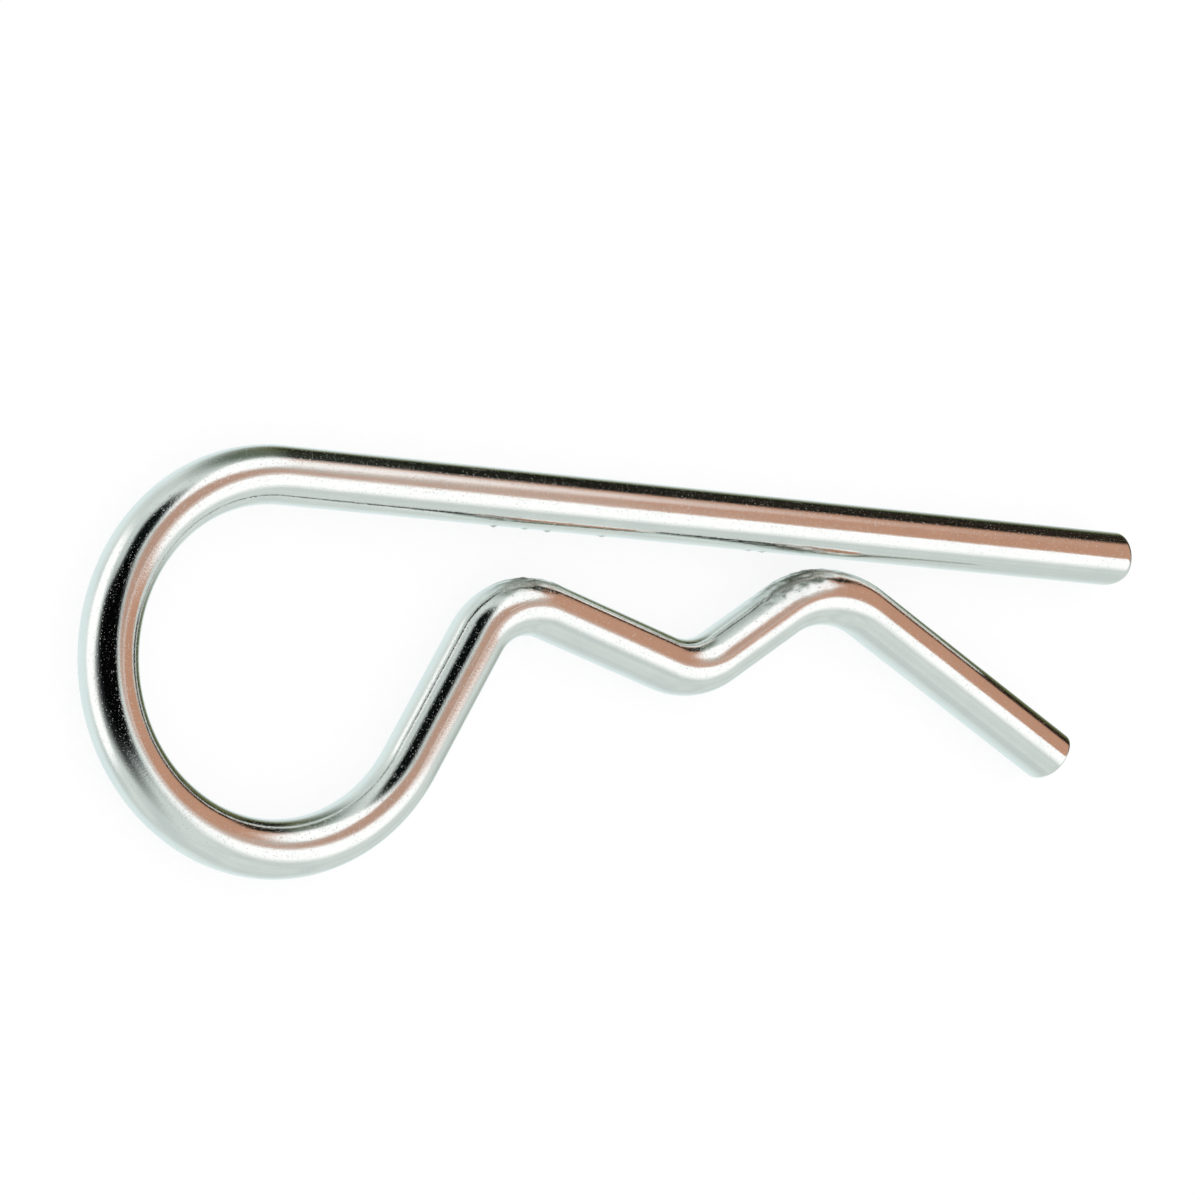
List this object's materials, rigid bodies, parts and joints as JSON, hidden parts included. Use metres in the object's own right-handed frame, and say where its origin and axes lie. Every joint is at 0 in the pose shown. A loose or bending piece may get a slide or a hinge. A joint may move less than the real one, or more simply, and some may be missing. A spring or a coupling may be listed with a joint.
{
  "type": "hitch pin clip",
  "caption": "Spring wire hitch pin clip: a straight leg, a round loop and a wavy arm with a shaft seat and a flared end.",
  "frame": {"origin": "on the straight leg's axis opposite the lowest point of the seat, which is the centre of the shaft that the clip locks", "axes": "+X along the straight leg towards its free end; +Y across the clip from the wavy arm to the leg; +Z square to the flat plane that the wire lies in"},
  "size_m": [0.065, 0.0217, 0.003],
  "materials": {
    "bright_wire": "polished"
  },
  "bodies": {
    "root": {"bent_wire": "bright_wire"}
  },
  "joints": []
}
